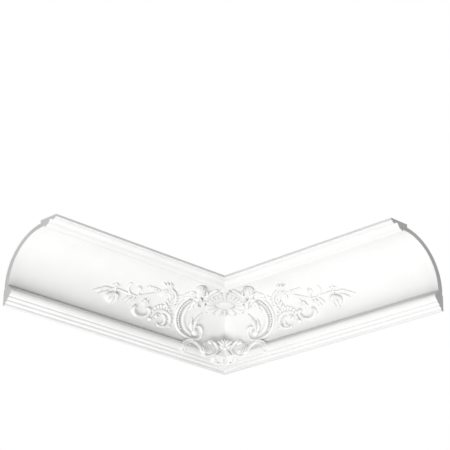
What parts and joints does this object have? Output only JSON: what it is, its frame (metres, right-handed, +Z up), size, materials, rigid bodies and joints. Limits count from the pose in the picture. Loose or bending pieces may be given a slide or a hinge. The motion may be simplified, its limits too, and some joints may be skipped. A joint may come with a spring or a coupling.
{
  "type": "ceiling cornice inside corner",
  "caption": "Inside-corner ceiling cornice with a deep hollow, stepped edges and carved scrolls, cherubs, palmette and rose sprays on both legs.",
  "frame": {"origin": "where the two walls and the ceiling meet, at the hidden back of the corner; no material there", "axes": "+X along the right leg, -Y along the left leg, +Z up: the ceiling is z = 0, the walls are x = 0 and y = 0"},
  "size_m": [0.6, 0.6, 0.15],
  "materials": {
    "white_foam": "matte white primer over hard foam"
  },
  "bodies": {
    "root": {"corner_cornice": "white_foam"}
  },
  "joints": []
}
